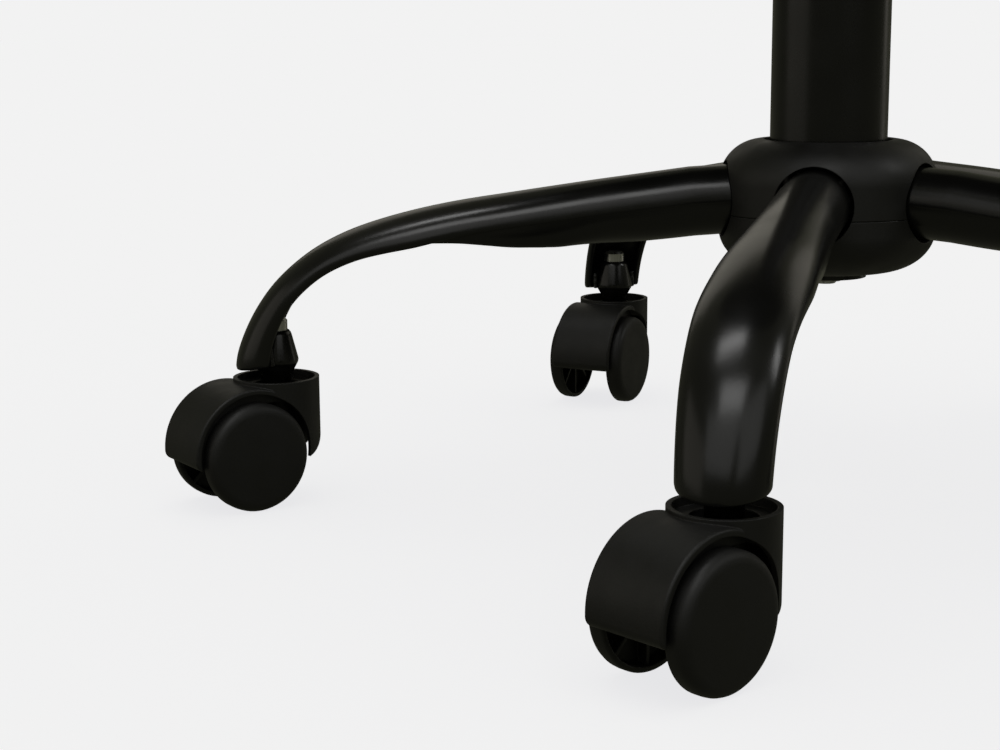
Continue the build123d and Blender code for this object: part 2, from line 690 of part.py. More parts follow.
with BuildPart() as grip:
    grip_x = LEVER_END_X - 56
    with BuildSketch(Plane.XY.offset(LEVER_DROP_Z)):
        with BuildLine():
            Line((grip_x, 0), (grip_x, LEVER_R + 2))
            Spline(
                (grip_x, LEVER_R + 2),
                (grip_x + 16, LEVER_R + 3.2),
                (grip_x + 44, LEVER_R + 4.4),
                (grip_x + 64, LEVER_R + 1),
                (grip_x + 68, 0),
                tangents=[(1, 0), (0, -1)],
            )
            Line((grip_x + 68, 0), (grip_x, 0))
        make_face()
    revolve(axis=Axis((0, 0, LEVER_DROP_Z), (1, 0, 0)))
    with Locations((LEVER_END_X, 0, LEVER_DROP_Z)):
        Cylinder(LEVER_R, 80, rotation=ALONG_X, align=DOWNWARD, mode=Mode.SUBTRACT)
save(grip.part, "lever_grip")

# ---------------------------------------------------------------- seat

with BuildPart() as seat_plate:
    with BuildSketch(Plane.XY.offset(PLATE_Z)):
        RectangleRounded(PLATE_SIDE, PLATE_SIDE, 14)
        with GridLocations(BOLT_SPACING, BOLT_SPACING, 2, 2):
            Circle(BOLT_R + 0.3, mode=Mode.SUBTRACT)
    extrude(amount=PLATE_T)
save(seat_plate.part, "seat_plate")

with BuildPart() as bolts:
    with BuildSketch(Plane.XY.offset(PLATE_Z - 4)):
        with GridLocations(BOLT_SPACING, BOLT_SPACING, 2, 2):
            RegularPolygon(5.0, 6, major_radius=False)
    extrude(amount=4)
    with BuildSketch(Plane.XY.offset(PLATE_Z)):
        with GridLocations(BOLT_SPACING, BOLT_SPACING, 2, 2):
            Circle(BOLT_R)
    extrude(amount=BOARD_TOP_Z - 1 - PLATE_Z)
save(bolts.part, "seat_bolts")

with BuildPart() as tee_nuts:
    with BuildSketch(Plane.XY.offset(BOARD_TOP_Z - 1.2)):
        with GridLocations(BOLT_SPACING, BOLT_SPACING, 2, 2):
            Circle(TEE_FLANGE_R)
            Circle(BOLT_R, mode=Mode.SUBTRACT)
    extrude(amount=1.2)
    with BuildSketch(Plane.XY.offset(BOARD_TOP_Z - 9)):
        with GridLocations(BOLT_SPACING, BOLT_SPACING, 2, 2):
            Circle(TEE_BARREL_R)
            Circle(BOLT_R, mode=Mode.SUBTRACT)
    extrude(amount=9 - 1.2)
save(tee_nuts.part, "tee_nuts")

with BuildPart() as dust_cover:
    with BuildSketch(Plane.XY.offset(PLATE_Z + PLATE_T)):
        Circle(COVER_CLOTH_R)
        with GridLocations(BOLT_SPACING, BOLT_SPACING, 2, 2):
            Circle(BOLT_R + 0.3, mode=Mode.SUBTRACT)
    extrude(amount=COVER_CLOTH_T)
save(dust_cover.part, "dust_cover")

with BuildPart() as board:
    with BuildSketch(Plane.XY.offset(BOARD_Z)):
        Circle(BOARD_R)
        with GridLocations(BOLT_SPACING, BOLT_SPACING, 2, 2):
            Circle(TEE_BARREL_R, mode=Mode.SUBTRACT)
    extrude(amount=BOARD_T)
    with BuildSketch(Plane.XY.offset(BOARD_TOP_Z - 1.2)):
        with GridLocations(BOLT_SPACING, BOLT_SPACING, 2, 2):
            Circle(TEE_FLANGE_R)
    extrude(amount=1.2, mode=Mode.SUBTRACT)
save(board.part, "seat_board")

with BuildPart() as cushion:
    with BuildSketch(Plane.XZ):
        with BuildLine():
            Polyline(
                (0, SEAT_TOP_Z),
                (0, BOARD_TOP_Z),
                (BOARD_R, BOARD_TOP_Z),
                (BOARD_R, BOARD_Z),
                (SEAT_R - 8, BOARD_Z),
            )
            Spline(
                (SEAT_R - 8, BOARD_Z),
                (SEAT_R, BOARD_Z + 30),
                (SEAT_R - 7, SEAT_TOP_Z - 20),
                (SEAT_R - 30, SEAT_TOP_Z - CROWN),
                tangents=[(0.5, 1), (-1, 0.11)],
            )
            TangentArc((0, SEAT_TOP_Z), (SEAT_R - 30, SEAT_TOP_Z - CROWN), tangent=(1, 0))
        make_face()
    revolve(axis=Axis.Z)
save(cushion.part, "seat_cushion")
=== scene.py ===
"""Adjustable swivel stool: detailed pieces, materials, stage, lights and camera round the frame."""

import json
import math

import bmesh
import bpy
from mathutils import Matrix, Vector, noise

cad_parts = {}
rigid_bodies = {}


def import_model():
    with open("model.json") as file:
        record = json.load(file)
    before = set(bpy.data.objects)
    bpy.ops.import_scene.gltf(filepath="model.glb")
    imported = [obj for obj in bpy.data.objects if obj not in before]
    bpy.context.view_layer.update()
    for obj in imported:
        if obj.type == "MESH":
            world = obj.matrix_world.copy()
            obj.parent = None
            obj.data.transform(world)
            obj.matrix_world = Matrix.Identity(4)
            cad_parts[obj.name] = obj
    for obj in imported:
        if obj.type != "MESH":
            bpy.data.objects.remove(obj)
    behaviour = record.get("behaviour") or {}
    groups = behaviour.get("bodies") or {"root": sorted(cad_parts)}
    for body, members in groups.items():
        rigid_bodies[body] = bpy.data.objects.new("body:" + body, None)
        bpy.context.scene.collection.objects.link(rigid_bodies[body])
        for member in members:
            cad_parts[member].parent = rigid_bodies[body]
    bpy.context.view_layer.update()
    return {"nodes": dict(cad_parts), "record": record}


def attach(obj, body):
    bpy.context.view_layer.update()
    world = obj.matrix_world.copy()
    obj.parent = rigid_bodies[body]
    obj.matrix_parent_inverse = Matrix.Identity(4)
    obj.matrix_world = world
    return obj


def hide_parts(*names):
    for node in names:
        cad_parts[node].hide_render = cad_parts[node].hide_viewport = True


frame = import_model()
NODES = frame["nodes"]
MM = 0.001

ARMS = ("front", "right", "rear_right", "rear_left", "left")
FRONT_ARM_DEG = -90.0
ARM_STEP_DEG = 72.0
STEM_REACH = 240.5 * MM


# ---------------------------------------------------------------- materials


class Shader:
    """A material's node tree round one Principled BSDF."""

    def __init__(self, name, base, roughness, metallic=0.0):
        self.material = bpy.data.materials.new(name)
        self.material.use_nodes = True
        self.tree = self.material.node_tree
        self.bsdf = self.tree.nodes["Principled BSDF"]
        self.base = base
        self.set("Base Color", (*base, 1.0))
        self.set("Roughness", roughness)
        self.set("Metallic", metallic)
        self.place = self.node("ShaderNodeTexCoord").outputs["Object"]
        self.normal = None

    def set(self, socket, value):
        self.bsdf.inputs[socket].default_value = value

    def node(self, kind, **settings):
        made = self.tree.nodes.new(kind)
        for key, value in settings.items():
            setattr(made, key, value)
        return made

    def link(self, source, target):
        self.tree.links.new(source, target)

    def noise(self, size, detail=3.0, roughness=0.5, stretch=(1, 1, 1)):
        """Noise whose blotches are about size metres across."""
        mapping = self.node("ShaderNodeMapping")
        mapping.inputs["Scale"].default_value = stretch
        self.link(self.place, mapping.inputs["Vector"])
        made = self.node("ShaderNodeTexNoise")
        made.inputs["Scale"].default_value = 1.0 / size
        made.inputs["Detail"].default_value = detail
        made.inputs["Roughness"].default_value = roughness
        self.link(mapping.outputs[0], made.inputs["Vector"])
        return made.outputs["Fac"]

    def cells(self, size, feature="F1", randomness=1.0):
        """Voronoi cells of about size metres; returns the distance output."""
        made = self.node("ShaderNodeTexVoronoi", feature=feature)
        made.inputs["Scale"].default_value = 1.0 / size
        made.inputs["Randomness"].default_value = randomness
        self.link(self.place, made.inputs["Vector"])
        return made.outputs["Distance"]

    def spread(self, source, low, high, from_low=0.35, from_high=0.65):
        """source mapped from its usual range to low..high."""
        made = self.node("ShaderNodeMapRange")
        made.inputs["From Min"].default_value = from_low
        made.inputs["From Max"].default_value = from_high
        made.inputs["To Min"].default_value = low
        made.inputs["To Max"].default_value = high
        self.link(source, made.inputs["Value"])
        return made.outputs["Result"]

    def vary_roughness(self, source, low, high):
        self.link(self.spread(source, low, high), self.bsdf.inputs["Roughness"])

    def vary_color(self, source, light, from_low=0.35, from_high=0.65):
        """Base colour that goes to light where source is high."""
        mix = self.node("ShaderNodeMix", data_type="RGBA")
        self.link(self.spread(source, 0.0, 1.0, from_low, from_high), mix.inputs["Factor"])
        mix.inputs["A"].default_value = (*self.base, 1.0)
        mix.inputs["B"].default_value = (*light, 1.0)
        self.link(mix.outputs["Result"], self.bsdf.inputs["Base Color"])

    def bump(self, source, height, strength=1.0):
        """source as relief, height metres between its low and high."""
        made = self.node("ShaderNodeBump")
        made.inputs["Strength"].default_value = strength
        made.inputs["Distance"].default_value = height
        self.link(source, made.inputs["Height"])
        if self.normal:
            self.link(self.normal, made.inputs["Normal"])
        self.normal = made.outputs["Normal"]
        self.link(self.normal, self.bsdf.inputs["Normal"])

    def soften_edges(self, radius):
        """Shades every sharp edge as if it were rounded by radius metres."""
        made = self.node("ShaderNodeBevel", samples=6)
        made.inputs["Radius"].default_value = radius
        self.normal = made.outputs["Normal"]
        self.link(self.normal, self.bsdf.inputs["Normal"])

    def along(self, axis):
        """One coordinate of the place on the object, in metres."""
        made = self.node("ShaderNodeSeparateXYZ")
        self.link(self.place, made.inputs[0])
        return made.outputs[axis]


def powder_coat(name, base, roughness, edge=0.0004):
    """Baked powder paint: soft orange peel, and cloudy differences in gloss."""
    s = Shader(name, base, roughness)
    s.soften_edges(edge)
    s.vary_roughness(s.noise(0.03, 2.0), roughness - 0.04, roughness + 0.04)
    s.vary_color(s.noise(0.05, 2.0), tuple(1.25 * c for c in base))
    s.bump(s.noise(0.0016, 1.0), 0.000012)
    return s.material


def moulded_plastic(name, base, roughness, grain=0.0006, height=0.00003, edge=0.0006):
    """Spark-eroded mould texture: fine grain with slight flow clouds."""
    s = Shader(name, base, roughness)
    s.soften_edges(edge)
    s.vary_roughness(s.noise(0.012, 3.0), roughness - 0.05, roughness + 0.05)
    s.vary_color(s.noise(0.02, 4.0), tuple(1.4 * c for c in base))
    s.bump(s.noise(grain, 2.0), height)
    return s.material


def plated_steel(name, base, roughness):
    """Bright plating with fine drawing lines along Z and slightly dull patches."""
    s = Shader(name, base, roughness, metallic=1.0)
    s.vary_roughness(s.noise(0.004, 4.0), roughness - 0.07, roughness + 0.1)
    s.vary_color(s.noise(0.003, 3.0), tuple(0.8 * c for c in base))
    s.bump(s.noise(0.0005, 2.0, stretch=(1, 1, 6)), 0.000006)
    return s.material


def leatherette(name, base):
    """Coated cloth: pebbled grain of two sizes in shallow valleys, duller in the valleys."""
    s = Shader(name, base, 0.42)
    pebbles = s.cells(0.0016, "SMOOTH_F1")
    s.vary_roughness(pebbles, 0.36, 0.5)
    s.vary_color(s.noise(0.03, 3.0), tuple(1.5 * c for c in base))
    s.bump(s.noise(0.014, 3.0), 0.00025)
    s.bump(pebbles, 0.00022)
    s.bump(s.noise(0.0006, 2.0), 0.00004)
    s.set("Sheen Weight", 0.08)
    return s.material


def plywood(name, base):
    """Birch plywood: veneer layers that show on the edge, and long grain on the faces."""
    s = Shader(name, base, 0.62)
    layers = s.node("ShaderNodeTexWave", wave_type="BANDS", bands_direction="Z")
    layers.inputs["Scale"].default_value = 105.0
    layers.inputs["Distortion"].default_value = 0.6
    layers.inputs["Detail"].default_value = 2.0
    s.link(s.place, layers.inputs["Vector"])
    dark = tuple(0.45 * c for c in base)
    grain = s.noise(0.004, 6.0, 0.6, stretch=(0.06, 1.0, 1.0))
    s.vary_color(grain, tuple(0.7 * c for c in base))
    under = s.bsdf.inputs["Base Color"].links[0].from_socket
    mix = s.node("ShaderNodeMix", data_type="RGBA")
    s.link(s.spread(layers.outputs["Fac"], 0.0, 0.8), mix.inputs["Factor"])
    s.link(under, mix.inputs["A"])
    mix.inputs["B"].default_value = (*dark, 1.0)
    s.link(mix.outputs["Result"], s.bsdf.inputs["Base Color"])
    s.bump(grain, 0.00015)
    return s.material


def non_woven(name, base):
    """Spun-bonded cloth: matted fibres both ways, with a grid of pressed dots."""
    s = Shader(name, base, 0.9)
    one = s.noise(0.0008, 4.0, 0.7, stretch=(0.15, 1.0, 1.0))
    other = s.noise(0.0008, 4.0, 0.7, stretch=(1.0, 0.15, 1.0))
    dots = s.cells(0.0022, "F1", randomness=0.0)
    s.vary_color(one, tuple(2.2 * c for c in base))
    s.vary_roughness(other, 0.8, 1.0)
    s.bump(one, 0.00012)
    s.bump(other, 0.00012)
    s.bump(s.spread(dots, 0.0, 1.0, 0.1, 0.35), 0.00018)
    s.set("Sheen Weight", 0.2)
    return s.material


def stem_steel(name, base, dull):
    """A caster stem: bright zinc above the socket, and a dark painted shade at the neck under it.
    """
    s = Shader(name, base, 0.34, metallic=1.0)
    # below about 72 mm up the stem takes the dull colour: painted shade for the neck under the
    # socket
    bright = s.spread(s.along("Z"), 0.0, 1.0, 0.070, 0.074)
    mix = s.node("ShaderNodeMix", data_type="RGBA")
    s.link(bright, mix.inputs["Factor"])
    mix.inputs["A"].default_value = (*dull, 1.0)
    mix.inputs["B"].default_value = (*base, 1.0)
    s.link(mix.outputs["Result"], s.bsdf.inputs["Base Color"])
    s.vary_roughness(s.noise(0.003, 4.0), 0.26, 0.42)
    s.bump(s.noise(0.0006, 2.0), 0.00001)
    return s.material


MATERIALS = {
    "arm_paint": powder_coat("arm_paint", (0.0045, 0.0045, 0.0041), 0.24),
    "column_paint": powder_coat("column_paint", (0.0040, 0.0040, 0.0037), 0.26),
    "cover_plastic": moulded_plastic("cover_plastic", (0.0060, 0.0060, 0.0055), 0.50),
    "caster_plastic": moulded_plastic("caster_plastic", (0.0050, 0.0050, 0.0046), 0.50, 0.0005),
    "wheel_plastic": moulded_plastic("wheel_plastic", (0.0046, 0.0046, 0.0042), 0.54, 0.0005),
    "steel": plated_steel("steel", (0.60, 0.60, 0.58), 0.30),
    "bearing_steel": plated_steel("bearing_steel", (0.64, 0.64, 0.65), 0.14),
    "bush_plastic": moulded_plastic("bush_plastic", (0.0080, 0.0080, 0.0080), 0.38),
    "cylinder_steel": plated_steel("cylinder_steel", (0.66, 0.67, 0.68), 0.12),
    "rubber": moulded_plastic("rubber", (0.0070, 0.0070, 0.0068), 0.70),
    "mechanism_paint": powder_coat("mechanism_paint", (0.0050, 0.0050, 0.0046), 0.36),
    "lever_paint": powder_coat("lever_paint", (0.0048, 0.0048, 0.0044), 0.30),
    "grip_plastic": moulded_plastic("grip_plastic", (0.0055, 0.0055, 0.0050), 0.44),
    "plywood": plywood("plywood", (0.42, 0.27, 0.14)),
    "cloth": non_woven("cloth", (0.0060, 0.0060, 0.0060)),
    "upholstery": leatherette("upholstery", (0.0060, 0.0058, 0.0055)),
}
# the last colour is the painted shade at the stems' necks under the sockets
STEM_STEEL = stem_steel("stem_steel", (0.60, 0.60, 0.57), (0.010, 0.010, 0.010))


def smooth(piece, degrees=35):
    """Rounds the shading of a piece, except across edges sharper than this."""
    for face in piece.data.polygons:
        face.use_smooth = True
    piece.data.set_sharp_from_angle(angle=math.radians(degrees))


for entry in frame["record"]["subparts"]:
    node = NODES[entry["node"]]
    is_stem = entry["node"].endswith("_caster_stem")
    for slot in node.material_slots:
        slot.material = STEM_STEEL if is_stem else MATERIALS[entry["material_slot"]]


def new_piece(name, mesh, body, slot_name, *replaced):
    piece = bpy.data.objects.new(name, mesh)
    bpy.context.scene.collection.objects.link(piece)
    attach(piece, body)
    if not mesh.materials:
        mesh.materials.append(MATERIALS[slot_name])
    if replaced:
        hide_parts(*replaced)
    return piece


def set_place(piece, matrix, body):
    piece.matrix_world = matrix
    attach(piece, body)


def only(piece):
    """Selects one piece and makes it active."""
    for other in bpy.context.view_layer.objects:
        other.select_set(False)
    piece.select_set(True)
    bpy.context.view_layer.objects.active = piece


def apply_modifiers(piece):
    only(piece)
    for modifier in list(piece.modifiers):
        bpy.ops.object.modifier_apply(modifier=modifier.name)


def finished(bm, name):
    """A mesh from bm, with its faces turned outwards."""
    bmesh.ops.recalc_face_normals(bm, faces=bm.faces)
    mesh = bpy.data.meshes.new(name)
    bm.to_mesh(mesh)
    bm.free()
    return mesh


def arm_turn(name):
    """Rotation from the +X direction to an arm's own."""
    return Matrix.Rotation(math.radians(FRONT_ARM_DEG + ARM_STEP_DEG * ARMS.index(name)), 4, "Z")


# ---------------------------------------------------------------- arms

# reach, crown height, half width, crown down to the widest level, underside's depth,
# press of its middle, thickness of the folded side edge: all in millimetres
ARM_STATIONS = [
    (60.0, 144.8, 15.0, 15.0, 15.0, 0.0, 0.0),
    (80.0, 142.2, 15.1, 14.8, 14.6, 0.0, 0.0),
    (100.0, 139.6, 15.5, 14.3, 14.5, 1.0, 0.0),
    (120.0, 136.8, 16.2, 14.0, 21.5, 11.0, 0.0),
    (140.0, 133.9, 17.3, 13.4, 22.0, 20.0, 0.3),
    (160.0, 130.9, 18.3, 13.1, 13.0, 17.0, 1.0),
    (182.0, 126.3, 18.8, 13.0, 1.0, 8.0, 2.6),
    (205.0, 119.3, 18.3, 10.6, -7.0, 0.0, 3.4),
    (224.0, 109.6, 17.5, 9.5, -6.5, 0.0, 3.4),
    (240.0, 95.8, 16.9, 10.0, -7.0, 0.0, 3.4),
    (250.9, 79.8, 16.2, 11.8, -8.6, 0.0, 3.4),
    (257.0, 64.5, 15.7, 14.0, -10.8, 0.0, 3.4),
    (258.0, 54.0, 15.4, 15.4, -12.0, 0.0, 3.4),
]
ARM_SLOPE = math.tan(math.radians(3.4))
HUB_R = 25.6
ARM_END_Z = 58.0
ARM_END_RISE = math.tan(math.radians(10.0))
END_REACH = 258.0
END_CURL = 2.2  # height over which the arm's end curls inwards
END_CURL_IN = 0.9
END_LOOPS = (1.0, 0.7, 0.45, 0.25, 0.1)  # shares of END_CURL
END_HALF_LENGTH = 18
END_HALF_WIDTH = 16
REFINEMENTS = 3
SIDE_STEPS = 30
FOLD_STEPS = 6
LEAST_LIP = 0.1


def refined(stations):
    """Twice as many stations, each new one on a cubic through the four nearest."""
    last = len(stations) - 1
    out = [stations[0]]
    for k in range(last):
        near = [stations[i] for i in (max(k - 1, 0), k, k + 1, min(k + 2, last))]
        out.append(tuple((9 * (b + c) - a - d) / 16 for a, b, c, d in zip(*near)))
        out.append(stations[k + 1])
    return out


def arm_ring(half, side_drop, belly, pinch, lip):
    """Outline of one arm section as (across, up from the crown) points."""
    lip = max(lip, LEAST_LIP)
    under_half = half - lip
    ring = []
    for k in range(SIDE_STEPS + 1):
        a = math.pi * k / SIDE_STEPS
        ring.append((half * math.cos(a), -side_drop + side_drop * math.sin(a)))
    for k in range(1, FOLD_STEPS):
        a = math.pi * k / FOLD_STEPS
        ring.append((-half + lip / 2 - lip / 2 * math.cos(a), -side_drop - lip / 2 * math.sin(a)))
    for k in range(SIDE_STEPS + 1):
        a = math.pi * (1 - k / SIDE_STEPS)
        s = math.sin(a)
        ring.append((under_half * math.cos(a), -side_drop - belly * s + pinch * s**3))
    for k in range(1, FOLD_STEPS):
        a = math.pi * k / FOLD_STEPS
        ring.append((half - lip / 2 - lip / 2 * math.cos(a), -side_drop - lip / 2 * math.sin(a)))
    return ring


def arm_mesh():
    """One arm along +X: a pressed tube, cut level and curled in at its end."""
    stations = ARM_STATIONS
    for _ in range(REFINEMENTS):
        stations = refined(stations)
    first = stations[0]
    inner = (HUB_R, first[1] + ARM_SLOPE * (first[0] - HUB_R), *first[2:])
    stations = [inner] + stations
    bm = bmesh.new()
    rings = []
    for k, (reach, height, *shape) in enumerate(stations):
        before, after = stations[max(k - 1, 0)], stations[min(k + 1, len(stations) - 1)]
        along = Vector((after[0] - before[0], 0, after[1] - before[1])).normalized()
        up = Vector((-along.z, 0, along.x))
        ring = []
        for across, rise in arm_ring(*shape):
            point = Vector((reach, 0, height)) + up * rise + Vector((0, across, 0))
            if k == 0:
                point.x = math.sqrt(HUB_R**2 - across**2)
            ring.append(bm.verts.new(point * MM))
        rings.append(ring)
    count = len(rings[0])
    for one, two in zip(rings, rings[1:]):
        for k in range(count):
            n = (k + 1) % count
            bm.faces.new((one[k], two[k], two[n], one[n]))
    # cut off, after adding loops for the rounding of the cut edge
    for share in END_LOOPS:
        cut(bm, END_CURL * share)
    cut(bm, 0.0, clear=True)
    ends = [e for e in bm.edges if e.is_boundary and above_end(e.verts[0].co) < 0.5]
    bmesh.ops.triangle_fill(bm, edges=ends, use_beauty=True)
    for v in bm.verts:
        t = min(1 - above_end(v.co) / END_CURL, 1.0)
        if t > 0:
            inwards = END_CURL_IN * MM * (1 - math.sqrt(1 - t * t))
            v.co.x -= inwards * max(0.0, (v.co.x / MM - STEM_REACH / MM) / END_HALF_LENGTH)
            v.co.y -= inwards * v.co.y / MM / END_HALF_WIDTH
    return finished(bm, "arm")


def above_end(point):
    """How far a point of an arm lies above its cut end, in millimetres."""
    return point.z / MM - ARM_END_Z - ARM_END_RISE * (END_REACH - point.x / MM)


def cut(bm, above, clear=False):
    """Cuts an arm along its end's slope, and drops what is below the cut if clear."""
    everything = bm.verts[:] + bm.edges[:] + bm.faces[:]
    bmesh.ops.bisect_plane(
        bm,
        geom=everything,
        plane_co=(END_REACH * MM, 0, (ARM_END_Z + above) * MM),
        plane_no=(ARM_END_RISE, 0, 1),
        clear_inner=clear,
    )


def make_arms():
    mesh = arm_mesh()
    for name in ARMS:
        piece = new_piece(f"arm_{name}_tube", mesh, "base", "arm_paint", f"arm_{name}")
        set_place(piece, arm_turn(name), "base")
        smooth(piece, 40)


# ---------------------------------------------------------------- turned shapes


def rounded(corners, steps=5):
    """Outline with rounded corners, from (radius, height, rounding) corners in millimetres."""
    out = []
    for k, (r, z, rounding) in enumerate(corners):
        here = Vector((r, z))
        if rounding <= 0 or k in (0, len(corners) - 1):
            out.append((r, z))
            continue
        back = (Vector(corners[k - 1][:2]) - here).normalized() * rounding
        ahead = (Vector(corners[k + 1][:2]) - here).normalized() * rounding
        for i in range(steps + 1):
            t = i / steps
            point = here + back * (1 - t) ** 2 + ahead * t**2
            out.append(tuple(point))
    return out


def turn(bm, outline, steps=64, at=(0, 0, 0), rotation=None):
    """Adds a shape turned about Z to bm, from (radius, height) points in millimetres."""
    rings = []
    for r, z in outline:
        if r < 1e-4:
            rings.append([bm.verts.new((0, 0, z * MM))])
            continue
        turns = [math.tau * k / steps for k in range(steps)]
        places = [(r * math.cos(a) * MM, r * math.sin(a) * MM, z * MM) for a in turns]
        rings.append([bm.verts.new(place) for place in places])
    for one, two in zip(rings, rings[1:]):
        for k in range(steps):
            n = (k + 1) % steps
            corners = (one[k % len(one)], one[n % len(one)], two[n % len(two)], two[k % len(two)])
            corners = list(dict.fromkeys(corners))
            if len(corners) > 2:
                bm.faces.new(corners)
    made = [v for ring in rings for v in ring]
    if rotation is not None:
        bmesh.ops.transform(bm, matrix=rotation.to_4x4(), verts=made)
    bmesh.ops.translate(bm, vec=Vector(at) * MM, verts=made)
    return made


# ---------------------------------------------------------------- casters

TRAIL_DEG = {"front": 239.5, "right": 247.0, "rear_right": 236.0, "rear_left": 260.5, "left": 231.5}
TRAIL = 19.0
WHEEL_R = 23.5
WHEEL_RIBS = 8
RIB_CENTRE = Vector((13.5, 0, 16.9))
RIB_SIZE = Vector((15.8, 1.4, 4.0))
WHEEL_FACE_Z = 20.9  # the outer face's edge, along the axle
WHEEL_DOME_STEPS = (0.0, 0.12, 0.24, 0.36, 0.48, 0.6, 0.72, 0.82)  # shares of the radius


def caster_frame(name):
    """Place of a caster: its stem's axis on the floor, trailing along its own +X."""
    spin = Matrix.Rotation(math.radians(TRAIL_DEG[name]), 4, "Z")
    return Matrix.Translation(arm_turn(name) @ Vector((STEM_REACH, 0, 0))) @ spin


def wheel_mesh():
    """One wheel with its axis along Z and its outer face up, open and ribbed behind."""
    bm = bmesh.new()
    outline = [
        (WHEEL_R * share, WHEEL_FACE_Z + math.cos(math.pi / 2 * share), 0)
        for share in WHEEL_DOME_STEPS
    ]
    outline += [
        (WHEEL_R, 20.75, 3.9),
        (WHEEL_R, 13.2, 0.9),
        (WHEEL_R - 2.0, 13.2, 0.5),
        (WHEEL_R - 2.4, 18.6, 1.2),
        (6.0, 19.0, 0.6),
        (6.0, 4.6, 0.4),
        (3.1, 4.6, 0.0),
        (3.1, 16.8, 0.0),
        (0.0, 16.8, 0.0),
    ]
    turn(bm, rounded(outline), steps=96)
    for k in range(WHEEL_RIBS):
        spoke = Matrix.Rotation(math.tau * k / WHEEL_RIBS, 4, "Z")
        place = spoke @ Matrix.Translation(RIB_CENTRE * MM)
        scale = Matrix.Diagonal((*RIB_SIZE * MM, 1.0))
        bmesh.ops.create_cube(bm, size=1, matrix=place @ scale)
    return finished(bm, "wheel")


def make_wheels():
    mesh = wheel_mesh()
    for name in ARMS:
        axle = caster_frame(name) @ Matrix.Translation((TRAIL * MM, 0, WHEEL_R * MM))
        for side, turned_by in (("right", 0.0), ("left", math.pi)):
            piece = new_piece(
                f"{name}_wheel_{side}_tread",
                mesh,
                f"{name}_{side}_wheel",
                "wheel_plastic",
                f"{name}_wheel_{side}",
            )
            facing = Matrix.Rotation(turned_by, 4, "Z") @ Matrix.Rotation(-math.pi / 2, 4, "X")
            set_place(piece, axle @ facing, f"{name}_{side}_wheel")
            smooth(piece, 40)


SOCKET_SEED = 7
SOCKET_SWELL = 0.28  # unevenness of a socket's outside, in millimetres
SOCKET_CORE_R = 6.2  # the bore and its edges stay true inside this radius
SOCKET_OUTLINE = [
    (5.6, 55.8, 0.0),
    (7.0, 55.8, 0.6),
    (10.2, 61.3, 1.6),
    (7.1, 74.2, 1.6),
    (5.9, 75.0, 0.5),
    (5.6, 74.6, 0.0),
    (5.6, 55.8, 0.0),
]
# centre, direction, length and radius of each bead on the left side; the right one mirrors it
WELDS = [
    ((1.0, 10.9, 64.4), (0.12, 0, 1), 6.6, 1.5),
    ((2.6, 10.3, 61.6), (1, 0, 0.1), 3.6, 1.4),
]


def weld_bead(bm, centre, along, length, radius):
    """A bead of overlapping puddles, laid straight."""
    count = max(3, round(length / (radius * 0.55)))
    for k in range(count):
        shift = (k / (count - 1) - 0.5) * length
        size = radius * (0.92 + 0.16 * noise.random())
        place = Vector(centre) + Vector(along) * shift
        scale = Matrix.Diagonal((size * MM, size * MM, size * 0.8 * MM, 1.0))
        at = Matrix.Translation(place * MM)
        bmesh.ops.create_icosphere(bm, subdivisions=2, radius=1, matrix=at @ scale)


def make_sockets():
    """The five turned sockets under the arms' ends, with a weld along each side."""
    noise.seed_set(SOCKET_SEED)
    outline = rounded(SOCKET_OUTLINE)
    for name in ARMS:
        bm = bmesh.new()
        turn(bm, outline, steps=56)
        for v in bm.verts:
            swell = noise.noise(v.co / (6 * MM) + Vector((3.0 * ARMS.index(name), 0, 0)))
            radial = Vector((v.co.x, v.co.y, 0))
            if radial.length > SOCKET_CORE_R * MM:
                v.co += radial.normalized() * swell * SOCKET_SWELL * MM
        for side in (1, -1):
            for (x, y, z), along, length, radius in WELDS:
                weld_bead(bm, (x, side * y, z), along, length, radius)
        mesh = finished(bm, f"socket_{name}")
        piece = new_piece(f"socket_{name}", mesh, "base", "arm_paint", "stem_sockets")
        set_place(piece, arm_turn(name) @ Matrix.Translation((STEM_REACH, 0, 0)), "base")
        smooth(piece, 60)


# ---------------------------------------------------------------- seat

SEAM_R = 175.6  # top panel's seam, which the piping covers
SEAM_Z = 463.0
SEAM_HOLD = 3.0  # a point this near to the seam's level is sewn
BOARD_TOP_Z = 415.5
BOARD_R = 168.0
RIM_TOP_Z = 408.0  # below this the cover lies tight round the board's edge
FILL_PRESSURE = 4.0
FILL_FRAMES = 20
SEAT_CAP = 6.0  # how far the simulation may move a point
SEAT_SEED = 11
VOXEL = 5.0
OUTSIDE_R = 230.0  # clear of the seat cover, where rays towards it start
ABOVE_Z = 520.0


def cushion_blank():
    """The padded seat before it is filled, a little smaller than its place."""
    bm = bmesh.new()
    outline = rounded(
        [
            (0.0, 478.5, 0.0),
            (70.0, 478.0, 10.0),
            (140.0, 473.0, 20.0),
            (SEAM_R - 1.2, SEAM_Z, 5.0),
            (176.0, 440.0, 10.0),
            (174.5, 418.0, 8.0),
            (170.5, 405.0, 4.0),
            (165.0, 404.6, 1.0),
            (164.7, BOARD_TOP_Z + 0.4, 0.5),
            (0.0, BOARD_TOP_Z + 0.4, 0.0),
        ]
    )
    turn(bm, outline, steps=128)
    return finished(bm, "cushion")


def held(point):
    """Whether a point of the seat cover is sewn, or lies against the board."""
    r = math.hypot(point.x, point.y) / MM
    z = point.z / MM
    on_seam = abs(z - SEAM_Z) < SEAM_HOLD and r > SEAM_R - 5
    return on_seam or z < RIM_TOP_Z or (z < BOARD_TOP_Z + 2 and r < BOARD_R)


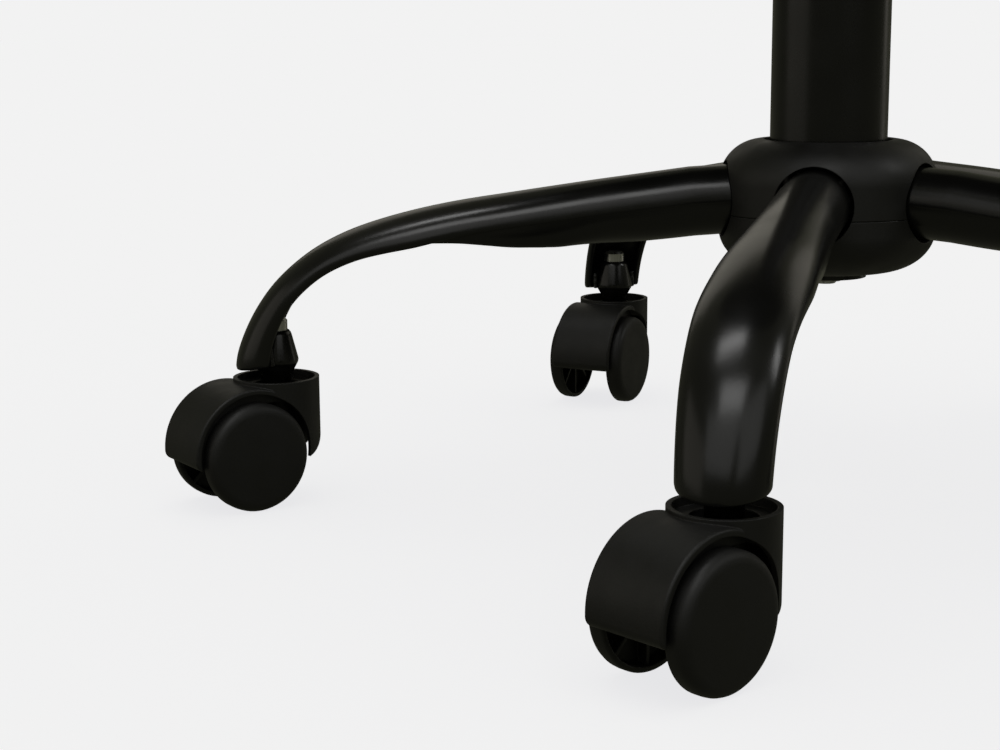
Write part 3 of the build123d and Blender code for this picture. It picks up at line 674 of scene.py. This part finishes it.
def fill_cushion(piece):
    """Blows the cover up as its foam would, by cloth simulation."""
    rest = [v.co.copy() for v in piece.data.vertices]
    sewn = piece.vertex_groups.new(name="sewn")
    sewn.add([v.index for v in piece.data.vertices if held(v.co)], 1.0, "REPLACE")
    cloth = piece.modifiers.new("filling", "CLOTH")
    cloth.settings.use_pressure = True
    cloth.settings.uniform_pressure_force = FILL_PRESSURE
    cloth.settings.vertex_group_mass = "sewn"
    cloth.settings.effector_weights.gravity = 0
    cloth.settings.quality = 5
    for number in range(1, FILL_FRAMES + 1):
        bpy.context.scene.frame_set(number)
    apply_modifiers(piece)
    bpy.context.scene.frame_set(1)
    for v, start in zip(piece.data.vertices, rest):
        moved = v.co - start
        if moved.length > SEAT_CAP * MM:
            v.co = start + moved.normalized() * SEAT_CAP * MM
    piece.vertex_groups.clear()


GATHERS = 84
GATHER_DEPTH = 0.75
GATHER_FADE = 13
GATHER_REACH = 40
GATHER_LEAST_R = 60


def pucker(point):
    """Depth of the small gathers that run away from the seam, in millimetres."""
    r = math.hypot(point.x, point.y) / MM
    z = point.z / MM
    away = math.hypot(r - SEAM_R, z - SEAM_Z)
    if away > GATHER_REACH or r < GATHER_LEAST_R:
        return 0.0
    turn_by = math.atan2(point.y, point.x)
    place = Vector((math.cos(turn_by) * 9, math.sin(turn_by) * 9, z / 30))
    wave = math.sin(turn_by * GATHERS + 5 * noise.noise(place))
    strength = 0.5 + 0.5 * noise.noise(place * 0.7 + Vector((5, 0, 0)))
    fade = math.exp(-((away / GATHER_FADE) ** 2)) * min(1.0, away / 4)
    return GATHER_DEPTH * wave * strength * fade


def make_cushion():
    piece = new_piece("seat_cover", cushion_blank(), "seat", "upholstery", "seat_cushion")
    remesh = piece.modifiers.new("even", "REMESH")
    remesh.mode = "VOXEL"
    remesh.voxel_size = VOXEL * MM
    apply_modifiers(piece)
    fill_cushion(piece)
    soften = piece.modifiers.new("soften", "SMOOTH")
    soften.iterations = 4
    finer = piece.modifiers.new("finer", "SUBSURF")
    finer.levels = finer.render_levels = 1
    apply_modifiers(piece)
    for v, normal in [(v, v.normal.copy()) for v in piece.data.vertices]:
        v.co += normal * pucker(v.co) * MM
    smooth(piece, 80)
    piece.data.materials.clear()
    piece.data.materials.append(MATERIALS["upholstery"])
    return piece


def surface_at(cover, r, angle, z, inwards):
    """Where a ray along inwards meets the seat cover, and the surface's normal there."""
    start = Vector((r * math.cos(angle), r * math.sin(angle), z)) * MM
    hit, point, normal, _ = cover.ray_cast(start, inwards)
    return (point, normal) if hit else (start, -inwards)


PIPING_R = 2.3
PIPING_STEPS = 360
PIPING_SIDES = 10


def make_piping(cover):
    """A welt cord sewn into the seam, riding up and down a little with the cover."""
    bm = bmesh.new()
    rings = []
    for k in range(PIPING_STEPS):
        a = math.tau * k / PIPING_STEPS
        outwards = Vector((math.cos(a), math.sin(a), 0))
        point, _ = surface_at(cover, SEAM_R + 30, a, SEAM_Z, -outwards)
        centre = point + outwards * 0.9 * MM
        centre.z += 0.5 * noise.noise(Vector((6 * math.cos(a), 6 * math.sin(a), 0))) * MM
        ring = []
        for i in range(PIPING_SIDES):
            b = math.tau * i / PIPING_SIDES
            offset = (outwards * math.cos(b) + Vector((0, 0, 1)) * math.sin(b)) * PIPING_R * MM
            ring.append(bm.verts.new(centre + offset))
        rings.append(ring)
    for k in range(PIPING_STEPS):
        one, two = rings[k], rings[(k + 1) % PIPING_STEPS]
        for i in range(PIPING_SIDES):
            j = (i + 1) % PIPING_SIDES
            bm.faces.new((one[i], two[i], two[j], one[j]))
    piece = new_piece("seat_piping", finished(bm, "piping"), "seat", "upholstery")
    smooth(piece, 80)


STITCH_R = 168.0
STITCH_COUNT = 240
STITCH_LENGTH = 3.4
THREAD = 0.8
BAND_SEAM_ANGLE = math.radians(95)
BAND_SEAM_HALF = 0.018  # in radians, from the seam to the stitches on each side of it
BAND_STITCHES = 11
BAND_STITCH_LENGTH = 3.2
BAND_STITCH_PITCH = 4.2
BAND_FOOT_Z = 413


def add_stitch(bm, point, along, normal, length, thickness):
    side = normal.cross(along).normalized()
    turn_to = Matrix((along, side, normal)).transposed().to_4x4()
    scale = Matrix.Diagonal((length / 2 * MM, thickness / 2 * MM, thickness / 2 * MM, 1.0))
    at = Matrix.Translation(point + normal * 0.1 * MM)
    bmesh.ops.create_icosphere(bm, subdivisions=1, radius=1, matrix=at @ turn_to @ scale)


def make_stitches(cover):
    """Top stitching beside the piping, and up the side band's closing seam at the back."""
    bm = bmesh.new()
    down = Vector((0, 0, -1))
    for k in range(STITCH_COUNT):
        a = math.tau * (k + 0.2 * noise.random()) / STITCH_COUNT
        point, normal = surface_at(cover, STITCH_R, a, ABOVE_Z, down)
        along = Vector((-math.sin(a), math.cos(a), 0))
        along = (along - normal * along.dot(normal)).normalized()
        add_stitch(bm, point, along, normal, STITCH_LENGTH, THREAD)
    for side in (-1, 1):
        a = BAND_SEAM_ANGLE + side * BAND_SEAM_HALF
        inwards = Vector((-math.cos(a), -math.sin(a), 0))
        for k in range(BAND_STITCHES):
            level = BAND_FOOT_Z + BAND_STITCH_PITCH * k
            point, normal = surface_at(cover, OUTSIDE_R, a, level, inwards)
            along = (Vector((0, 0, 1)) - normal * normal.z).normalized()
            add_stitch(bm, point, along, normal, BAND_STITCH_LENGTH, THREAD)
    piece = new_piece("seat_stitches", finished(bm, "stitches"), "seat", "upholstery")
    smooth(piece, 80)


MARGIN_STEPS = 240
MARGIN_TOP_Z = 413.0  # where the margin leaves the side band
MARGIN_THICKNESS = 0.9
MARGIN_WOBBLE = 2.0  # of its hand-cut inner edge
PLEATS = 26
PLEAT_DEPTH = 1.1
# (out from the side band, level) down to the rim, then (radius, level) under the board
MARGIN_ROUND = ((-0.8, MARGIN_TOP_Z), (0.3, 410.0), (0.0, 407.2), (-1.6, 404.9), (-4.6, 403.5))
MARGIN_UNDER = ((162.0, 402.9), (158.0, 402.8), (154.0, 402.7), (150.0, 402.6))
DUST_CLOTH_TOP = [(0, 403.2), (100, 403.2), (112, 403.0), (140, 402.2), (148, 401.4), (158, 401.2)]
DUST_CLOTH_UNDER = [(158.6, 400.9), (158, 400.5), (148, 400.7), (140, 401.7)]
DUST_CLOTH_UNDER += [(112, 402.6), (0, 402.6)]
DUST_CLOTH_FLAT_R = 116  # it lies flat on the board inside this
STAPLE_COUNT = 40
STAPLE_R = 153.5
STAPLE_Z = 400.35
STAPLE_SIZE = Vector((11, 1.1, 0.6))


def side_radii(cover):
    """The side band's radius just above the rim, all round, evened out."""
    radii = []
    for k in range(MARGIN_STEPS):
        a = math.tau * k / MARGIN_STEPS
        inwards = Vector((-math.cos(a), -math.sin(a), 0))
        point, _ = surface_at(cover, OUTSIDE_R, a, MARGIN_TOP_Z, inwards)
        radii.append(point.xy.length / MM)
    for _ in range(3):
        ahead = radii[1:] + radii[:1]
        behind = radii[-1:] + radii[:-1]
        radii = [sum(near) / 3 for near in zip(behind, radii, ahead)]
    return radii


def make_underside(cover):
    """The cover's turned-under margin with its pleats, the non-woven cloth and its staples."""
    bm = bmesh.new()
    sides = side_radii(cover)
    rings = []
    for j, (r, z) in enumerate(MARGIN_ROUND + MARGIN_UNDER):
        ring = []
        for k, side in enumerate(sides):
            a = math.tau * k / MARGIN_STEPS
            place = Vector((math.cos(a) * 5, math.sin(a) * 5, 0))
            fold = abs(math.sin(a * PLEATS + 3 * noise.noise(place)))
            deep = PLEAT_DEPTH * (1 - fold) ** 2 * min(1.0, max(0, j - 2) / 3)
            out = side + r if j < len(MARGIN_ROUND) else r
            if j == len(MARGIN_ROUND + MARGIN_UNDER) - 1:
                out += MARGIN_WOBBLE * noise.noise(place * 3)
            point = (out * math.cos(a) * MM, out * math.sin(a) * MM, (z - deep) * MM)
            ring.append(bm.verts.new(point))
        rings.append(ring)
    for one, two in zip(rings, rings[1:]):
        for k in range(MARGIN_STEPS):
            n = (k + 1) % MARGIN_STEPS
            bm.faces.new((one[k], one[n], two[n], two[k]))
    margin = new_piece("seat_margin", finished(bm, "margin"), "seat", "upholstery")
    thick = margin.modifiers.new("thick", "SOLIDIFY")
    thick.thickness = MARGIN_THICKNESS * MM
    thick.offset = 0
    apply_modifiers(margin)
    smooth(margin, 50)

    bm = bmesh.new()
    turn(bm, DUST_CLOTH_TOP + DUST_CLOTH_UNDER, steps=200)
    for v in bm.verts:
        r = v.co.xy.length / MM
        if r > DUST_CLOTH_FLAT_R:
            share = min(1.0, (r - DUST_CLOTH_FLAT_R) / 14)
            v.co.z += 0.35 * noise.noise(v.co / (22 * MM)) * MM * share
    cloth = new_piece("seat_dust_cloth", finished(bm, "dust_cloth"), "seat", "cloth", "dust_cover")
    smooth(cloth, 40)

    bm = bmesh.new()
    for k in range(STAPLE_COUNT):
        a = math.tau * (k + 0.25 * noise.random()) / STAPLE_COUNT
        r = STAPLE_R + 1.5 * noise.random()
        skew = Matrix.Rotation(a + math.pi / 2 + 0.25 * noise.random(), 4, "Z")
        at = Matrix.Translation(Vector((r * math.cos(a), r * math.sin(a), STAPLE_Z)) * MM)
        scale = Matrix.Diagonal((*STAPLE_SIZE * MM, 1.0))
        bmesh.ops.create_cube(bm, size=1, matrix=at @ skew @ scale)
    staples = new_piece("seat_staples", finished(bm, "staples"), "seat", "steel")
    rounding = staples.modifiers.new("rounding", "BEVEL")
    rounding.width = 0.25 * MM
    rounding.segments = 2
    apply_modifiers(staples)


GRIP_Z = 368.0
GRIP_RINGS = 6
GRIP_RING_START = 130.0
GRIP_RING_PITCH = 4.2


def make_grip():
    """The lever's moulded grip, waisted and ringed."""
    bm = bmesh.new()
    outline = [(4.02, 122.0, 0), (6.1, 122.0, 1.0), (6.6, 127.0, 1.0)]
    for k in range(GRIP_RINGS):
        start = GRIP_RING_START + GRIP_RING_PITCH * k
        full = 7.0 + 0.22 * k
        outline += [(full, start, 0.4), (full - 0.8, start + 0.7, 0.4)]
        outline += [(full - 0.8, start + 1.5, 0.4), (full + 0.1, start + 2.2, 0.4)]
    outline += [(8.4, 166.0, 6.0), (7.2, 182.0, 4.0), (4.0, 189.6, 3.0), (0.0, 190.0, 0)]
    turn(bm, rounded(outline), steps=48)
    mesh = finished(bm, "grip")
    piece = new_piece("lever_grip_moulded", mesh, "lever", "grip_plastic", "lever_grip")
    along_x = Matrix.Rotation(math.pi / 2, 4, "Y")
    set_place(piece, Matrix.Translation((0, 0, GRIP_Z * MM)) @ along_x, "lever")
    smooth(piece, 50)


def make_seat():
    noise.seed_set(SEAT_SEED)
    cover = make_cushion()
    make_piping(cover)
    make_stitches(cover)
    make_underside(cover)
    make_grip()


# ---------------------------------------------------------------- stage, lights and camera

BACKGROUND = 0.888
AMBIENT = (0.088, 0.088, 0.064)  # the world's light on everything but the camera
FLOOR_R = 30.0
FLOOR_GREY = 0.8
FLOOR_LIT = 0.05  # share of the floor's brightness that a shadow can take away
FLOOR_SUN_SPREAD = math.radians(70)


def make_world():
    world = bpy.data.worlds.new("studio")
    bpy.context.scene.world = world
    world.use_nodes = True
    nodes, links = world.node_tree.nodes, world.node_tree.links
    seen = nodes["Background"]
    seen.inputs["Color"].default_value = (BACKGROUND, BACKGROUND, BACKGROUND, 1)
    dim = nodes.new("ShaderNodeBackground")
    dim.inputs["Color"].default_value = (*AMBIENT, 1)
    path = nodes.new("ShaderNodeLightPath")
    mix = nodes.new("ShaderNodeMixShader")
    links.new(path.outputs["Is Camera Ray"], mix.inputs["Fac"])
    links.new(dim.outputs[0], mix.inputs[1])
    links.new(seen.outputs[0], mix.inputs[2])
    links.new(mix.outputs[0], nodes["World Output"].inputs["Surface"])


def make_floor():
    bm = bmesh.new()
    bmesh.ops.create_circle(bm, cap_ends=True, segments=64, radius=FLOOR_R)
    mesh = bpy.data.meshes.new("floor")
    bm.to_mesh(mesh)
    bm.free()
    floor = bpy.data.objects.new("floor", mesh)
    bpy.context.scene.collection.objects.link(floor)
    paint = bpy.data.materials.new("floor_paper")
    paint.use_nodes = True
    nodes, links = paint.node_tree.nodes, paint.node_tree.links
    nodes.remove(nodes["Principled BSDF"])
    glow = nodes.new("ShaderNodeEmission")
    own = [BACKGROUND * (1 - FLOOR_LIT) - FLOOR_GREY * c for c in AMBIENT]
    glow.inputs["Color"].default_value = (*own, 1)
    matt = nodes.new("ShaderNodeBsdfDiffuse")
    matt.inputs["Color"].default_value = (FLOOR_GREY, FLOOR_GREY, FLOOR_GREY, 1)
    both = nodes.new("ShaderNodeAddShader")
    links.new(glow.outputs[0], both.inputs[0])
    links.new(matt.outputs[0], both.inputs[1])
    links.new(both.outputs[0], nodes["Material Output"].inputs["Surface"])
    mesh.materials.append(paint)
    for ray in ("visible_diffuse", "visible_glossy", "visible_transmission", "visible_shadow"):
        setattr(floor, ray, False)
    return floor


def make_light(name, floor, place, size, watts, color):
    data = bpy.data.lights.new(name, "AREA")
    data.shape = "RECTANGLE"
    data.size, data.size_y = size
    data.energy = watts
    data.color = color
    light = bpy.data.objects.new(name, data)
    bpy.context.scene.collection.objects.link(light)
    light.location = place
    light.rotation_mode = "QUATERNION"
    light.rotation_quaternion = (LIGHT_TARGET - place).to_track_quat("-Z", "Y")
    light.visible_camera = False
    link_light(light, floor, "EXCLUDE")


def link_light(light, floor, state):
    """Keeps a light off the floor (EXCLUDE), or on nothing else (INCLUDE)."""
    group = bpy.data.collections.new(f"{light.name}_floor")
    group.objects.link(floor)
    light.light_linking.receiver_collection = group
    group.collection_objects[0].light_linking.link_state = state


def make_floor_light(floor):
    """A wide overhead light that only the floor takes, for a faint contact shadow."""
    data = bpy.data.lights.new("floor_light", "SUN")
    data.energy = math.pi * FLOOR_LIT * BACKGROUND / FLOOR_GREY
    data.angle = FLOOR_SUN_SPREAD
    light = bpy.data.objects.new("floor_light", data)
    bpy.context.scene.collection.objects.link(light)
    link_light(light, floor, "INCLUDE")


WHITE = (1.0, 1.0, 1.0)
WARM = (1.0, 0.94, 0.85)

# name, azimuth and elevation in degrees, width and height in metres, watts, colour
LIGHTS = [
    ("overhead", 190, 79, 0.3, 0.9, 5.0, WHITE),
    ("front", 272, 57, 1.2, 0.6, 6.2, WHITE),
    ("right_strip", 12, 40, 0.25, 0.6, 3.6, WHITE),
    ("right_front", 320, 32, 1.5, 1.4, 3.6, WHITE),
    ("front_low", 262, 34, 2.0, 1.1, 4.0, WHITE),
    ("left", 208, 14, 2.0, 1.3, 2.6, WARM),
    ("back_right", 64, 25, 0.9, 0.8, 0.8, WARM),
    ("edge_right", 48, 4, 0.4, 1.2, 0.6, WARM),
    ("back_left", 116, 22, 1.4, 1.0, 1.4, WARM),
]
LIGHT_TARGET = Vector((0.0, -0.05, 0.1))
LIGHT_DISTANCE = 2.2


def make_lights(floor):
    for name, azimuth, elevation, width, height, watts, color in LIGHTS:
        spin = Matrix.Rotation(math.radians(azimuth), 3, "Z")
        lift = Matrix.Rotation(-math.radians(elevation), 3, "Y")
        place = LIGHT_TARGET + spin @ lift @ Vector((LIGHT_DISTANCE, 0, 0))
        make_light(name, floor, place, (width, height), watts, color)


CAMERA_PLACE = Vector((0.1000, -0.8071, 0.2056))
CAMERA_PAN = math.radians(17.13)
CAMERA_TILT = math.radians(10.755)
CAMERA_ROLL = math.radians(-0.35)
CAMERA_LENS = 66.48


def make_camera():
    data = bpy.data.cameras.new("camera")
    data.sensor_width = 36.0
    data.lens = CAMERA_LENS
    data.clip_start = 0.01
    camera = bpy.data.objects.new("camera", data)
    bpy.context.scene.collection.objects.link(camera)
    pan = Matrix.Rotation(CAMERA_PAN, 3, "Z")
    tilt = Matrix.Rotation(math.pi / 2 - CAMERA_TILT, 3, "X")
    roll = Matrix.Rotation(CAMERA_ROLL, 3, "Z")
    camera.matrix_world = (pan @ tilt @ roll).to_4x4()
    camera.location = CAMERA_PLACE
    bpy.context.scene.camera = camera


make_arms()
make_wheels()
make_sockets()
make_seat()
make_world()
stage_floor = make_floor()
make_floor_light(stage_floor)
make_lights(stage_floor)
make_camera()
bpy.context.scene.view_settings.view_transform = "Standard"
